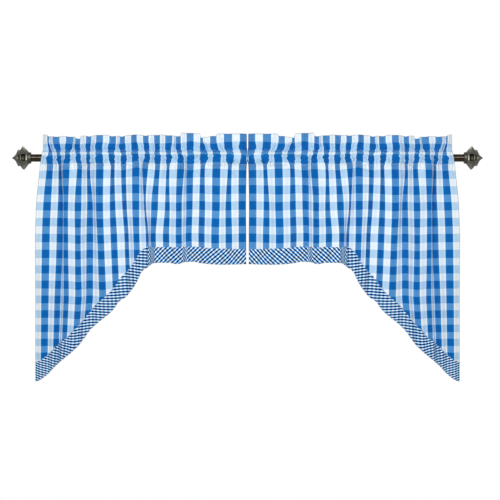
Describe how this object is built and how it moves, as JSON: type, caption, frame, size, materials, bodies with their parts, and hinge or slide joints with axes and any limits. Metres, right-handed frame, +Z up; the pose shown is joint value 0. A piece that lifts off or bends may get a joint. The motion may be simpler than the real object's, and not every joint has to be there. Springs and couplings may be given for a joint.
{
  "type": "swag window valance pair on a curtain rod with finials",
  "caption": "Gathered rod-pocket swag valance panels in checked cotton with bias-cut borders along their stepped lower edges, threaded on a round rod with pointed square finials.",
  "frame": {"origin": "the middle of the rod's axis", "axes": "+X along the rod to the right as seen from the room, +Z up; the room side faces -Y"},
  "size_m": [1.744, 0.085, 0.9187],
  "materials": {
    "gingham": "matt plain-weave cotton, blue and white 30 mm woven check",
    "small_gingham": "matt plain-weave cotton, small navy and white check cut on the bias",
    "rod_enamel": "dark bronze, semi-gloss",
    "finial_metal": "dark pewter, satin with lighter rubbed edges"
  },
  "bodies": {
    "root": {"panel_left": "gingham", "panel_right": "gingham", "border_left": "small_gingham", "border_right": "small_gingham", "rod": "rod_enamel", "finial_left": "finial_metal", "finial_right": "finial_metal"}
  },
  "joints": []
}
